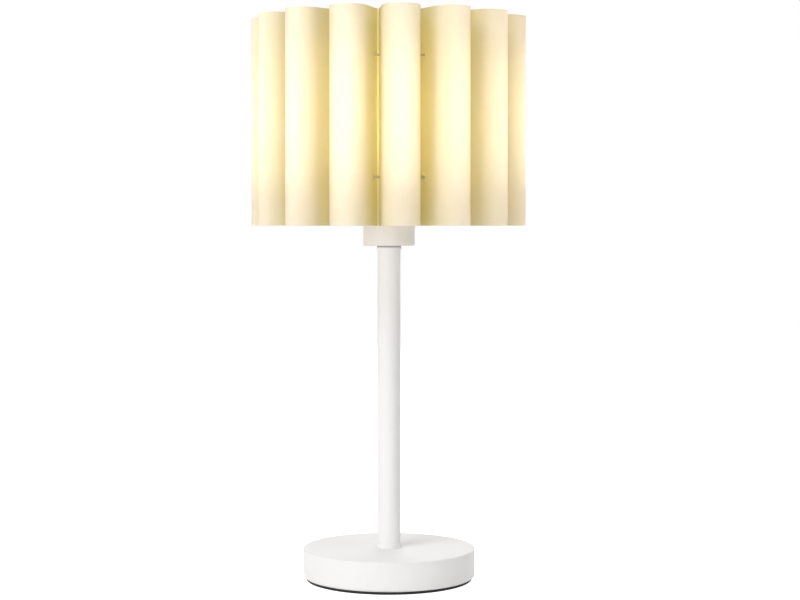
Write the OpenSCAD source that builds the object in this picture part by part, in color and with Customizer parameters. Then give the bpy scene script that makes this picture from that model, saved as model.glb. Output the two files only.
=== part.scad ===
// Table lamp with a round weighted base, a plain stem and a shade of upright fluted panels.
// The panels are threaded on two wire rings, and the lower ring is carried by a three-armed
// spider that is clamped on the lampholder. Z is up, and the origin is the centre of the
// underside of the pad.

/* [Base] */
// Outside diameter of the pressed steel cover
base_diameter = 150; // [120:5:200]
// Height of the cover, from its foot to its top face
base_height = 25; // [22:1:40]
// Sheet thickness of the cover
base_wall = 1.5; // [1:0.1:1.8]
// Radius round the top edge of the cover
base_top_radius = 1; // [0.6:0.2:3]
// Radius round the foot of the cover, where the sheet turns in
base_foot_radius = 2.5; // [2.2:0.1:3.5]
// Thickness of the non-slip pad
pad_thickness = 2.5; // [2:0.5:4]
// Distance from the edge of the cover in to the edge of the pad
pad_inset = 4.5; // [4:0.5:8]
// Thickness of the cast weight
weight_thickness = 16; // [15:0.5:18]
// Diameter of the boss on the weight that carries the stem
weight_boss_diameter = 36; // [30:1:50]
// Diameter of the recess for the nut under the weight
nut_recess_diameter = 40; // [34:1:50]
// Depth of the recess for the nut, from the top of the pad
nut_recess_depth = 11.5; // [10.5:0.5:13]

/* [Cable outlet] */
// Bore of the grommet in the back of the base
grommet_bore = 7; // [5:0.5:8]
// Wall of the grommet where it passes through the cover
grommet_wall = 1; // [0.8:0.1:1.5]
// Length of the snap-in tail of the grommet, inside the cover
grommet_tail = 2; // [2:0.5:5]
// Height of the outlet above the foot of the cover
outlet_height = 7.5; // [7.5:0.5:9]
// Width of the cable channel under the weight
channel_width = 14; // [13:1:20]

/* [Stem] */
// Outside diameter of the stem tube
stem_diameter = 20; // [17:1:30]
// Wall of the stem tube
stem_wall = 1.5; // [1:0.1:2.5]
// Length of the stem that shows between its collars
stem_length = 256.5; // [150:0.5:400]
// Height of the collar at the foot of the stem
lower_collar_height = 4; // [3:0.5:8]
// Height of the collar at the head of the stem
upper_collar_height = 3.5; // [3:0.5:8]
// How far a collar stands out from the stem
collar_rim = 1; // [0.8:0.1:3]
// Depth to which the stem sits in each collar
collar_recess = 2; // [1:0.1:2.2]
// Diameter of the threaded tube that holds the lamp together
rod_diameter = 10; // [8:0.5:12]
// Bore of the threaded tube
rod_bore = 7; // [4:0.5:7]
// Width across the flats of the nuts on the threaded tube
nut_flats = 17; // [15:1:19]
// Thickness of the nut under the weight
nut_thickness = 6; // [4:0.5:6]
// Diameter of the washer under the weight
washer_diameter = 28; // [22:1:30]
// Thickness of the washer under the weight
washer_thickness = 2; // [1:0.5:2.5]

/* [Cup and lampholder] */
// Outside diameter of the cup round the lampholder
cup_diameter = 45; // [43:0.5:60]
// Wall of the cup
cup_wall = 1.2; // [0.8:0.1:1.6]
// Radius round the bottom edge of the cup
cup_edge_radius = 1; // [0.6:0.1:3]
// Thickness of the locknut inside the cup
locknut_thickness = 4; // [3:0.5:6]
// Outside diameter of the lampholder's lower half
holder_diameter = 38; // [37.5:0.1:39]
// Height of the lampholder's flange above its bottom
holder_flange_height = 24; // [22:0.5:27]
// Thickness of the lampholder's flange, which carries the shade
holder_flange_thickness = 1.5; // [1:0.1:2.5]
// Length of the lampholder's threaded collar above its flange
holder_collar_length = 21.3; // [20:0.1:23]
// Diameter of the thread round the lampholder's collar
holder_thread_diameter = 38.8; // [38:0.1:40]
// Height of the ring nut that clamps the shade
ring_nut_height = 6.3; // [4:0.1:8]
// Diameter over the grip of the ring nut
ring_nut_diameter = 48; // [46:0.5:50]

/* [Bulb] */
// Diameter of the bulb
bulb_diameter = 55; // [52:1:70]
// Length of the bulb from the tip of its cap to its top
bulb_length = 100; // [98:1:130]
// Diameter of the bulb's screw cap
cap_diameter = 26.2; // [26:0.05:26.4]
// Length of the screw cap, with its tip
cap_length = 26; // [25:0.5:28]
// Wall of the opal dome
dome_wall = 1.2; // [0.8:0.1:2]
// How far the dome reaches down below its widest place
dome_skirt = 25; // [15:1:28]
// Wall of the housing below the dome
housing_wall = 1.5; // [1:0.1:2.5]

/* [Shade] */
// Number of fluted panels
flute_count = 15; // [12:1:17]
// Diameter over the crests of the flutes
shade_diameter = 240; // [220:2:280]
// Height of the shade
shade_height = 180; // [160:5:240]
// Width of a flute over its round crest
flute_width = 31.5; // [30:0.5:36]
// Diameter over the seams, where the panels meet
seam_diameter = 160; // [150:1:170]
// Width of the narrow strip that shows at a seam
seam_width = 1.7; // [1.2:0.1:3]
// How far the flange of a panel laps under the next panel
flange_lap = 1.6; // [1:0.1:3]
// Thickness of the laminate
laminate_thickness = 0.8; // [0.4:0.1:1]
// Direction of the first flute, from straight ahead
first_flute_angle = 5.5; // [0:0.5:24]

/* [Shade frame] */
// Diameter of the wire of the two rings
ring_wire = 2; // [1.5:0.1:3]
// Distance from the seams out to the rings
ring_offset = 8; // [6:0.5:12]
// Height of the lower ring above the shade's bottom edge
lower_ring_height = 40; // [35:1:60]
// Height of the upper ring above the shade's bottom edge
upper_ring_height = 141; // [100:1:150]
// Number of spider arms, which the number of flutes is a multiple of
arm_count = 3; // [1:2:3]
// Diameter of the wire of the spider's arms
arm_wire = 3; // [2:0.2:4]
// Rise of the arms from the hub to the lower ring
arm_rise = 25.3; // [15:0.1:35]
// Length of the flat start of each arm, out from the hub
arm_start = 8; // [6:0.5:15]
// Diameter of the spider's hub
hub_diameter = 54; // [53:0.5:60]
// Thickness of the spider's hub
hub_thickness = 1.5; // [1:0.1:2.5]
// Length of the sleeves that hold the arms and the ring ends
sleeve_length = 8; // [6:0.5:10]

/* [Hidden] */
$fn = 96;

// Clearances
close_gap = 0.05;
slip_gap = 0.3;
glue_gap = 0.1;
wire_gap = 0.4;
overcut = 1;

// Base
base_r = base_diameter / 2;
base_top = pad_thickness + base_height;
base_ceiling = base_top - base_wall;
pad_r = base_r - pad_inset;
pad_edge_radius = 0.6;
lip_r = pad_r + slip_gap;
rod_r = rod_diameter / 2;
rod_hole_r = rod_r + slip_gap;
weight_r = base_r - base_wall - slip_gap;
weight_bottom = pad_thickness + base_wall;
weight_top = weight_bottom + weight_thickness;
weight_edge_radius = 2;
recess_top = pad_thickness + nut_recess_depth;
washer_z = recess_top - washer_thickness;
nut_z = washer_z - nut_thickness;
rod_z = nut_z - slip_gap;

// Cable outlet
outlet_z = pad_thickness + outlet_height;
grommet_r = grommet_bore / 2 + grommet_wall;
grommet_lip_step = 0.6;
grommet_lip_r = grommet_r + grommet_lip_step;
grommet_lip = 1.3;
grommet_flange_step = 2;
grommet_flange_r = grommet_r + grommet_flange_step;
grommet_flange = 1.5;
grommet_edge_radius = 0.8;
channel_room = 1.5;
channel_top = outlet_z + grommet_lip_r + channel_room;

// Stem
stem_r = stem_diameter / 2;
collar_r = stem_r + collar_rim;
collar_edge_radius = 0.4;
lower_collar_top = base_top + lower_collar_height;
stem_z = lower_collar_top - collar_recess;
upper_collar_z = lower_collar_top + stem_length;
stem_top = upper_collar_z + collar_recess;
cup_z = upper_collar_z + upper_collar_height;

// Lampholder, from the cup's floor up
cup_r = cup_diameter / 2;
cup_floor = cup_z + cup_wall;
holder_z = cup_floor + locknut_thickness;
holder_flange_z = holder_z + holder_flange_height;
cup_top = holder_flange_z - glue_gap;
hub_z = holder_flange_z + holder_flange_thickness;
holder_rim = hub_z + holder_collar_length;
holder_r = holder_diameter / 2;
flange_setback = 0.5;
holder_flange_r = cup_r - flange_setback;
holder_wall = 2;
holder_floor = 2.5;
holder_edge_radius = 3;
entry_wall = 3.5;
entry_height = 9;
thread_r = holder_thread_diameter / 2;
barrel_height = 5.5;
barrel_step = 0.8;
rim_lip = 1.5;
rim_radius = 1;
cap_r = cap_diameter / 2;
cap_proud = 0.5;
cap_depth = cap_length - cap_proud;
shell_play = 0.35;
shell_r = cap_r + shell_play;
shell_wall = 0.5;
shell_flange = 3;
shell_room = 0.9;
skirt_bore_r = shell_r + shell_wall + shell_room;
skirt_lip_r = shell_r + shell_wall + slip_gap;
spigot_r = holder_r - holder_wall - glue_gap;
tip_z = holder_rim - cap_depth;
contact_height = 1.2;
block_top = tip_z - contact_height;
block_height = 7.3;
block_z = block_top - block_height;
block_flange = 1.5;
block_r = skirt_bore_r - slip_gap;
block_flange_r = spigot_r;
block_ledge = 2;
spigot_height = 5;
split_z = block_z + block_flange + spigot_height;
leaf_width = 5;
leaf_thickness = 0.4;
leaf_foot = 8;
terminal_gap = 0.5;
terminal_x = rod_r + close_gap + entry_wall + terminal_gap;
terminal_size = [5, 6, 6];
terminal_hole = 2.4;
screw_diameter = 2.5;
screw_head_diameter = 4.4;
screw_head = 1.5;
rod_setback = 1;
rod_top = holder_z + entry_height - rod_setback;

// Shade frame
hub_r = hub_diameter / 2;
hub_play = 0.8;
hub_hole_r = thread_r + hub_play;
hub_top = hub_z + hub_thickness;
hub_mid = hub_z + hub_thickness / 2;
ring_nut_bore_r = thread_r + slip_gap;
ring_nut_r = ring_nut_diameter / 2;
nut_setback = 1;
ring_nut_flange_r = hub_r - nut_setback;
ring_nut_flange = 1.5;
ring_nut_edge_radius = 1;
grip_count = 24;
grip_r = 0.9;
seam_r = seam_diameter / 2;
ring_r = seam_r + ring_offset;
ring_hole = ring_wire + 2 * wire_gap;
sleeve_play = 0.7;
sleeve_bore = ring_wire + sleeve_play;
sleeve_wall = 0.9;
sleeve_diameter = sleeve_bore + 2 * sleeve_wall;
elbow_radius = 10;
weld_lap = 0.5;
bend_thinning = 0.1;
lower_ring_z = hub_top + arm_rise;
shade_z = lower_ring_z - lower_ring_height;
upper_ring_z = shade_z + upper_ring_height;
ferrule_flute = floor(flute_count / 2) + 1;

// Fluted panels, in a frame where u runs across the flute and v runs out from the axis
flute_pitch = 360 / flute_count;
flute_r = flute_width / 2;
crest_v = shade_diameter / 2 - flute_r;
seam_angle = flute_pitch / 2;
seam_out = [sin(seam_angle), cos(seam_angle)];
seam_along = [cos(seam_angle), -sin(seam_angle)];
wall_foot = seam_r * seam_out - seam_width / 2 * seam_along;
crest_centre = [0, crest_v];
crest_blend = 0.02;
wall_offset = flute_r - crest_blend;
foot_reach = norm(wall_foot - crest_centre);
foot_angle = atan2(wall_foot[1] - crest_v, wall_foot[0]);
wall_angle = foot_angle + acos(wall_offset / foot_reach);
wall_normal = [cos(wall_angle), sin(wall_angle)];
wall_way = [sin(wall_angle), -cos(wall_angle)];

// Bulb, up from its tip
bulb_r = bulb_diameter / 2;
bulb_centre = tip_z + bulb_length - bulb_r;
dome_z = bulb_centre - dome_skirt;
dome_curve_r = 121.5;
dome_foot_r = bulb_r - dome_curve_r + sqrt(dome_curve_r * dome_curve_r - dome_skirt * dome_skirt);
cap_wall = 0.5;
cap_top = tip_z + cap_length;
insulator_cone = 3.6;
cap_shell_z = tip_z + insulator_cone;
tip_r = 4.8;
tip_height = 1.3;
tip_edge_radius = 1;
insulator_rim = 1.5;
insulator_height = 6;
insulator_top = tip_z + insulator_height;
sleeve_depth = 6;
housing_step = 0.2;
housing_foot_r = cap_r + housing_step;
housing_bow = 3;
housing_steps = 12;
board_thickness = 1.6;
board_play = 0.6;
board_r = dome_foot_r - dome_wall - board_play;
board_ledge = 2.5;
chip_count = 12;
chip_size = [3, 3, 0.8];
chip_circle_share = 0.65;
chip_circle_r = chip_circle_share * board_r;
driver_play = 1;
driver_width = 2 * (cap_r - cap_wall - glue_gap - housing_wall - driver_play);
driver_thickness = 1.6;

// Colours
white_paint = [0.93, 0.93, 0.92];
iron = [0.30, 0.30, 0.31];
black_foam = [0.06, 0.06, 0.06];
steel = [0.72, 0.73, 0.75];
white_plastic = [0.95, 0.95, 0.93];
porcelain = [0.97, 0.97, 0.95];
brass = [0.80, 0.64, 0.32];
laminate = [0.99, 0.94, 0.80];
opal = [1.00, 0.98, 0.90];
board_green = [0.10, 0.35, 0.20];

panel_names = [for (k = [1:flute_count]) str("flute_panel_", k < 10 ? "0" : "", k)];

// Waste outside a rounded corner at [x, y], for a top corner (up = 1) or a bottom one (up = -1)
module corner_waste(x, y, up, r) {
    translate([x - r, y - up * r]) rotate(up > 0 ? 0 : -90) difference() {
        square(r + overcut);
        circle(r);
    }
}

// Half of the section of a ring between two radii and two heights
module band(inner, outer, low, high) {
    translate([inner, low]) square([outer - inner, high - low]);
}

// Hexagonal nut on the threaded tube
module hex_nut(z, thickness) {
    translate([0, 0, z]) difference() {
        cylinder(d = nut_flats / cos(30), h = thickness, $fn = 6);
        translate([0, 0, -overcut]) cylinder(r = rod_r + close_gap, h = thickness + 2 * overcut);
    }
}

// Direction of flute k, as a turn about Z from straight ahead
function flute_angle(k) = first_flute_angle + (k - 1) * flute_pitch;

// Short sleeve on a wire ring, standing out along +X and open along Y
module sleeve_body(z, length) {
    translate([ring_r, 0, z]) rotate([90, 0, 0]) cylinder(d = sleeve_diameter, h = length, center = true);
}

module sleeve_hole(z, length) {
    translate([ring_r, 0, z]) rotate([90, 0, 0])
        cylinder(d = sleeve_bore, h = length + 2 * overcut, center = true);
}

// Wire from one [radius, height] point to another, in the XZ plane
module wire_between(from, to, diameter) {
    way = to - from;
    translate([from[0], 0, from[1]]) rotate([0, atan2(way[0], way[1]), 0])
        cylinder(d = diameter, h = norm(way));
}

// Soft disc under the weight
module base_pad() {
    color(black_foam) rotate_extrude() difference() {
        square([pad_r, pad_thickness]);
        corner_waste(pad_r, 0, -1, pad_edge_radius);
    }
}

// Pressed steel cover with its foot turned in round the weight
module base_cover() {
    inner_r = base_r - base_wall;
    color(white_paint) difference() {
        rotate_extrude() difference() {
            band(0, base_r, pad_thickness, base_top);
            corner_waste(base_r, base_top, 1, base_top_radius);
            corner_waste(base_r, pad_thickness, -1, base_foot_radius);
            difference() {
                band(0, inner_r, weight_bottom, base_ceiling);
                corner_waste(inner_r, weight_bottom, -1, base_foot_radius - base_wall);
            }
            band(0, lip_r, pad_thickness - overcut, weight_bottom + overcut);
            band(0, rod_hole_r, base_ceiling - overcut, base_top + overcut);
        }
        translate([0, base_r, outlet_z]) rotate([90, 0, 0])
            cylinder(r = grommet_r + glue_gap, h = 2 * base_wall + 4 * overcut, center = true);
    }
}

// Cast weight with a foot between the cover's lip, a boss for the stem and a cable channel
module base_weight() {
    color(iron) difference() {
        rotate_extrude() difference() {
            union() {
                difference() {
                    band(0, weight_r, weight_bottom, weight_top);
                    corner_waste(weight_r, weight_bottom, -1, base_foot_radius - base_wall + slip_gap);
                    corner_waste(weight_r, weight_top, 1, weight_edge_radius);
                }
                band(0, lip_r - slip_gap, pad_thickness, weight_bottom + overcut);
                band(0, weight_boss_diameter / 2, weight_top - overcut, base_ceiling);
            }
            band(0, nut_recess_diameter / 2, 0, recess_top);
            band(0, rod_hole_r, 0, base_top);
        }
        translate([-channel_width / 2, 0, 0]) cube([channel_width, base_r, channel_top]);
    }
}

// Snap-in bush for the cable, in the back of the cover
module cable_grommet() {
    bore_r = grommet_bore / 2;
    tail = base_wall + slip_gap;
    color(white_plastic) translate([0, base_r, outlet_z]) rotate([-90, 0, 0]) rotate_extrude() {
        difference() {
            band(bore_r, grommet_flange_r, 0, grommet_flange);
            corner_waste(grommet_flange_r, grommet_flange, 1, grommet_edge_radius);
        }
        band(bore_r, grommet_r, -base_wall - grommet_tail, overcut / 2);
        band(bore_r, grommet_lip_r, -tail - grommet_lip, -tail);
    }
}

module base_washer() {
    color(steel) rotate_extrude() band(rod_hole_r, washer_diameter / 2, washer_z, recess_top);
}

module base_nut() {
    color(steel) hex_nut(nut_z, nut_thickness);
}

// Threaded tube from the nut under the weight to the lampholder, with the wires inside it
module threaded_tube() {
    color(steel) rotate_extrude() band(rod_bore / 2, rod_r, rod_z, rod_top);
}

// Turned collar with a recess that the end of the stem sits in
module stem_collar(height) {
    rotate_extrude() difference() {
        band(rod_hole_r, collar_r, 0, height);
        corner_waste(collar_r, height, 1, collar_edge_radius);
        band(0, stem_r + close_gap, height - collar_recess, height + overcut);
    }
}

module lower_collar() {
    color(white_paint) translate([0, 0, base_top]) stem_collar(lower_collar_height);
}

module upper_collar() {
    color(white_paint) translate([0, 0, cup_z]) rotate([180, 0, 0]) stem_collar(upper_collar_height);
}

module stem_tube() {
    color(white_paint) rotate_extrude() band(stem_r - stem_wall, stem_r, stem_z, stem_top);
}

// Spun cup, open at the top, where the lampholder's flange covers its rim
module holder_cup() {
    inner_r = cup_r - cup_wall;
    color(white_paint) rotate_extrude() difference() {
        band(rod_hole_r, cup_r, cup_z, cup_top);
        corner_waste(cup_r, cup_z, -1, cup_edge_radius);
        band(0, inner_r, cup_floor, cup_top + overcut);
    }
}

module cup_locknut() {
    color(steel) hex_nut(cup_floor, locknut_thickness);
}

// Lower half of the lampholder, with a threaded entry for the tube and a ledge for the block
module lampholder_cap() {
    entry_r = rod_r + close_gap;
    color(white_plastic) rotate_extrude() {
        difference() {
            band(entry_r, holder_r, holder_z, split_z);
            corner_waste(holder_r, holder_z, -1, holder_edge_radius);
            band(0, block_flange_r - block_ledge, holder_z + holder_floor, split_z + overcut);
            band(0, spigot_r + glue_gap, block_z, split_z + overcut);
        }
        band(entry_r, entry_r + entry_wall, holder_z, holder_z + entry_height);
    }
}

// Upper half of the lampholder: spigot, flange, threaded collar and plain rim
module lampholder_skirt() {
    barrel_r = thread_r - barrel_step;
    color(white_plastic) rotate_extrude() difference() {
        union() {
            band(skirt_bore_r, spigot_r, block_z + block_flange, split_z + overcut);
            band(skirt_bore_r, holder_r, split_z, holder_flange_z + overcut / 2);
            band(skirt_bore_r, holder_flange_r, holder_flange_z, hub_z);
            band(skirt_bore_r, thread_r, hub_z - overcut / 2, holder_rim - barrel_height);
            band(skirt_bore_r, barrel_r, holder_rim - barrel_height - overcut, holder_rim);
            band(skirt_lip_r, barrel_r, holder_rim - rim_lip, holder_rim);
        }
        corner_waste(barrel_r, holder_rim, 1, rim_radius);
    }
}

// Insulating block between the two halves of the lampholder
module contact_block() {
    color(porcelain) difference() {
        rotate_extrude() {
            band(0, block_flange_r, block_z, block_z + block_flange);
            band(0, block_r, block_z, block_top);
        }
        for (side = [-1, 1]) translate([side * (terminal_x + terminal_size[0] / 2), 0, block_z - overcut])
            cylinder(d = terminal_hole, h = block_height / 2 + overcut);
    }
}

// Screw shell that the bulb's cap turns in
module thread_shell() {
    shell_top = holder_rim - rim_lip - slip_gap;
    color(brass) rotate_extrude() {
        band(shell_r, shell_r + shell_wall, block_top, shell_top);
        band(shell_r - shell_flange, shell_r + shell_wall, block_top, block_top + shell_wall);
    }
}

// Leaf spring under the tip of the bulb, flat at its foot and raised at its end
module centre_contact() {
    rise = contact_height - slip_gap - leaf_thickness;
    third = leaf_foot / 3;
    lower_edge = [[-leaf_foot, 0], [-third, 0], [0, rise], [third, rise]];
    outline = concat(lower_edge, [for (i = [3:-1:0]) lower_edge[i] + [0, leaf_thickness]]);
    color(brass) translate([0, leaf_width / 2, block_top]) rotate([90, 0, 0])
        linear_extrude(leaf_width) polygon(outline);
}

// Terminals under the block, each with a hole for a wire and one for a screw
module wire_terminals() {
    color(brass) for (side = [0, 180]) rotate(side)
        translate([terminal_x, -terminal_size[1] / 2, block_z - terminal_size[2]]) difference() {
            cube(terminal_size);
            translate([terminal_size[0] / 2, terminal_size[1] / 2, -overcut])
                cylinder(d = terminal_hole, h = terminal_size[2] + 2 * overcut);
            translate([terminal_size[0] / 2, terminal_size[1] / 2, terminal_size[2] / 2]) rotate([-90, 0, 0])
                cylinder(r = screw_diameter / 2 + close_gap, h = terminal_size[1]);
        }
}

// Screws of the terminals, with slotted heads
module terminal_screws() {
    slot = 0.6;
    color(steel) for (side = [0, 180]) rotate(side)
        translate([terminal_x + terminal_size[0] / 2, terminal_size[1] / 2, block_z - terminal_size[2] / 2])
            rotate([-90, 0, 0]) difference() {
                union() {
                    cylinder(d = screw_head_diameter, h = screw_head);
                    translate([0, 0, terminal_hole / 2 - terminal_size[1] / 2])
                        cylinder(d = screw_diameter, h = terminal_size[1] / 2 - terminal_hole / 2 + 0.5);
                }
                translate([-screw_head_diameter, -slot / 2, screw_head - slot])
                    cube([2 * screw_head_diameter, slot, screw_head]);
            }
}

// Ring nut that clamps the spider's hub on the lampholder's flange
module shade_ring_nut() {
    color(white_plastic) difference() {
        rotate_extrude() {
            difference() {
                band(ring_nut_bore_r, ring_nut_r, hub_top, hub_top + ring_nut_height);
                corner_waste(ring_nut_r, hub_top + ring_nut_height, 1, ring_nut_edge_radius);
            }
            band(ring_nut_bore_r, ring_nut_flange_r, hub_top, hub_top + ring_nut_flange);
        }
        for (i = [0:grip_count - 1]) rotate(i * 360 / grip_count)
            translate([ring_nut_r + grip_r / 3, 0, hub_top + ring_nut_flange])
                cylinder(r = grip_r, h = ring_nut_height);
    }
}

// Bent wire from the hub out along +X, through an elbow, and up to the lower ring
module spider_arm() {
    elbow = [hub_r + arm_start, hub_mid + elbow_radius];
    reach = [ring_r, lower_ring_z] - elbow;
    slope = atan2(reach[1], reach[0]) + asin(elbow_radius / norm(reach));
    elbow_end = elbow + elbow_radius * [sin(slope), -cos(slope)];
    wire_between([hub_r - weld_lap, hub_mid], [elbow[0] + weld_lap, hub_mid], arm_wire);
    translate([elbow[0], 0, elbow[1]]) rotate([90, 0, 0]) rotate(-90)
        rotate_extrude(angle = slope) translate([elbow_radius, 0]) circle(d = arm_wire - bend_thinning);
    wire_between(elbow_end - weld_lap * [cos(slope), sin(slope)], [ring_r, lower_ring_z], arm_wire);
    sleeve_body(lower_ring_z, sleeve_length);
}

// Hub with wire arms that rise inside three flutes to sleeves on the lower ring
module shade_spider() {
    color(white_paint) difference() {
        union() {
            rotate_extrude() band(hub_hole_r, hub_r, hub_z, hub_top);
            for (i = [0:arm_count - 1]) rotate(first_flute_angle + i * 360 / arm_count - 90) spider_arm();
        }
        for (i = [0:arm_count - 1]) rotate(first_flute_angle + i * 360 / arm_count - 90)
            sleeve_hole(lower_ring_z, sleeve_length);
    }
}

// Wire ring that the panels are threaded on
module wire_ring(z) {
    rotate_extrude() translate([ring_r, z]) circle(d = ring_wire);
}

module lower_ring() {
    color(white_paint) wire_ring(lower_ring_z);
}

module upper_ring() {
    color(white_paint) wire_ring(upper_ring_z);
}

// Crimped sleeves that close the two rings, inside the flute at the back
module ring_ferrules() {
    color(steel) for (z = [lower_ring_z, upper_ring_z]) rotate(flute_angle(ferrule_flute) - 90)
        difference() {
            sleeve_body(z, sleeve_length);
            sleeve_hole(z, sleeve_length);
        }
}

// Point of a wall beside the crest's centre, at a depth below the wall's outside
function wall_start(depth) = crest_centre + (wall_offset - depth) * wall_normal;

// Point of a wall at a depth below its outside, where its distance along the seam's radius is rho
function wall_end(depth, rho) = wall_start(depth)
    + wall_way * (rho - wall_start(depth) * seam_out) / (wall_way * seam_out);

// The same for the wall on the other side of the flute, and the step to the panel's own frame
function other_side(p) = [-p[0], p[1]];
function in_panel(points) = [for (p = points) [p[0], -p[1]]];

// Solid section of a flute at a depth below its outside. The first wall ends at near and the second
// at far, both square to the seam's radius.
module flute_section(depth, near, far) {
    translate([0, -crest_v]) circle(flute_r - depth);
    polygon(in_panel([
        wall_start(depth), wall_end(depth, near), wall_end(depth + laminate_thickness, near),
        other_side(wall_end(depth + laminate_thickness, far)), other_side(wall_end(depth, far)),
        other_side(wall_start(depth))
    ]));
}

// Bent panel: a round crest, two walls, and a narrow flange that laps under the next panel.
// Each wall has a hole for each wire ring.
module flute_panel(k) {
    inner_r = seam_r - laminate_thickness;
    below = inner_r - flute_r;
    color(laminate) translate([0, 0, shade_z]) rotate(flute_angle(k)) difference() {
        linear_extrude(shade_height) {
            difference() {
                flute_section(0, inner_r, seam_r + glue_gap);
                flute_section(laminate_thickness, below, below);
            }
            rotate(seam_angle) translate([-seam_width / 2 - laminate_thickness / 2, -seam_r])
                square([seam_width + laminate_thickness / 2 + flange_lap, laminate_thickness]);
        }
        for (side = [-1, 1], height = [lower_ring_height, upper_ring_height])
            rotate(side * seam_angle) translate([0, -ring_r, height]) rotate([0, 90, 0])
                cylinder(d = ring_hole, h = flute_r, center = true);
    }
}

// Contact at the tip of the bulb's cap
module bulb_tip_contact() {
    color(steel) rotate_extrude() difference() {
        band(0, tip_r, tip_z, tip_z + tip_height);
        corner_waste(tip_r, tip_z, -1, tip_edge_radius);
    }
}

// Black insulator between the tip and the screw cap
module bulb_insulator() {
    outer = cap_r - cap_wall - glue_gap;
    low = tip_z + tip_height / 2;
    color(black_foam) rotate_extrude() difference() {
        polygon([
            [0, low], [tip_r + insulator_rim, low], [outer, cap_shell_z],
            [outer, insulator_top], [0, insulator_top]
        ]);
        band(0, tip_r + close_gap, tip_z, tip_z + tip_height);
    }
}

module bulb_screw_cap() {
    color(steel) rotate_extrude() band(cap_r - cap_wall, cap_r, cap_shell_z, cap_top);
}

// Housing that flares from the cap to the dome, with a ledge for the board
module bulb_housing() {
    height = dome_z - cap_top;
    function flare(t, offset) =
        [housing_foot_r + (dome_foot_r - housing_foot_r) * t - housing_bow * sin(180 * t) - offset,
         cap_top + height * t];
    outside = [for (i = [0:housing_steps]) flare(i / housing_steps, 0)];
    inside = [for (i = [housing_steps:-1:0]) flare(i / housing_steps, housing_wall)];
    collar_r = cap_r - cap_wall - glue_gap;
    color(white_plastic) rotate_extrude() {
        polygon(concat(outside, inside));
        band(collar_r - housing_wall, collar_r, cap_top - sleeve_depth, cap_top);
        band(collar_r - housing_wall, housing_foot_r, cap_top, cap_top + housing_wall);
        band(board_r - board_ledge, dome_foot_r - housing_wall / 2, dome_z - housing_wall, dome_z);
    }
}

// Section of the dome's solid: half a circle over a gently drawn-in skirt
module dome_section(inset) {
    intersection() {
        translate([0, bulb_centre]) circle(bulb_r - inset);
        band(0, bulb_r, bulb_centre, bulb_centre + bulb_r);
    }
    intersection() {
        translate([bulb_r - dome_curve_r, bulb_centre]) circle(dome_curve_r - inset);
        band(0, bulb_r, dome_z - inset, bulb_centre);
    }
}

module bulb_dome() {
    color(opal) rotate_extrude() difference() {
        dome_section(0);
        dome_section(dome_wall);
    }
}

module led_board() {
    color(white_plastic) rotate_extrude() band(0, board_r, dome_z, dome_z + board_thickness);
}

module led_chips() {
    color(opal) for (i = [0:chip_count - 1]) rotate(i * 360 / chip_count)
        translate([chip_circle_r, 0, dome_z + board_thickness + chip_size[2] / 2])
            cube(chip_size, center = true);
}

// Upright driver board in the housing, with its capacitor and coil
module driver_board() {
    low = cap_top - sleeve_depth;
    height = dome_z - low;
    capacitor_r = 3;
    solder_lap = 0.2;
    color(board_green) {
        translate([-driver_width / 2, -driver_thickness / 2, low])
            cube([driver_width, driver_thickness, height]);
        translate([0, driver_thickness / 2 + capacitor_r - solder_lap, low + height / 3])
            cylinder(r = capacitor_r, h = height / 3);
        translate([-capacitor_r, -driver_thickness / 2 - capacitor_r, low + height / 2])
            cube([2 * capacitor_r, capacitor_r + solder_lap, height / 4]);
    }
}

base_pad();
base_cover();
base_weight();
cable_grommet();
base_washer();
base_nut();
threaded_tube();
lower_collar();
stem_tube();
upper_collar();
holder_cup();
cup_locknut();
lampholder_cap();
lampholder_skirt();
contact_block();
thread_shell();
centre_contact();
wire_terminals();
terminal_screws();
shade_ring_nut();
shade_spider();
lower_ring();
upper_ring();
ring_ferrules();
bulb_tip_contact();
bulb_insulator();
bulb_screw_cap();
bulb_housing();
bulb_dome();
led_board();
led_chips();
driver_board();
for (k = [1:flute_count]) flute_panel(k);
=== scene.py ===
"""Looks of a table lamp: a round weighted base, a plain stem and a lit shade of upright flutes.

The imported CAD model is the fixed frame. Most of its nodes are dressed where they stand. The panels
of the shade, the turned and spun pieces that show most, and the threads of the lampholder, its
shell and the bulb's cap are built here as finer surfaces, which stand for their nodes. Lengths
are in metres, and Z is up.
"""

import logging
import math
from collections.abc import Sequence
from dataclasses import dataclass
from enum import Enum, IntEnum

import bmesh
import bpy
import numpy as np
from bpy.types import Camera, Light, Material, Mesh, Node, NodeSocket, NodeTree, Object, World
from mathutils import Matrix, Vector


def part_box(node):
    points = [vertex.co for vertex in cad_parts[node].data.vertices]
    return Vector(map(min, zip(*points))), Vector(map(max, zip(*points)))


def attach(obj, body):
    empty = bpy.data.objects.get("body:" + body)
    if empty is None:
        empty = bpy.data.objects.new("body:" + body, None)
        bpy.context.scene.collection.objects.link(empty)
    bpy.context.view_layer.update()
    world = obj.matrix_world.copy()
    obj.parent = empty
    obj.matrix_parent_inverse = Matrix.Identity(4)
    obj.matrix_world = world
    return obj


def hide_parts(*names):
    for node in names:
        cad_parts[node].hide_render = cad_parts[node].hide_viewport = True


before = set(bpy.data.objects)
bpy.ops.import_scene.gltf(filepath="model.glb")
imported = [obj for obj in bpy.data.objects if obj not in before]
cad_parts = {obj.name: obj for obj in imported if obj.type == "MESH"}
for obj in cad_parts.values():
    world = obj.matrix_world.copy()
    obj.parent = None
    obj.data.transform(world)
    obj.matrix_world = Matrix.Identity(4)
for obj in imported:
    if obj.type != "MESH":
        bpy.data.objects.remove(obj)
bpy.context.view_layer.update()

LOG = logging.getLogger("table_lamp")
MM = 0.001

# Name of the UV map that holds a panel's own flat coordinates, in metres.
SHEET_UV = "sheet"

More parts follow.
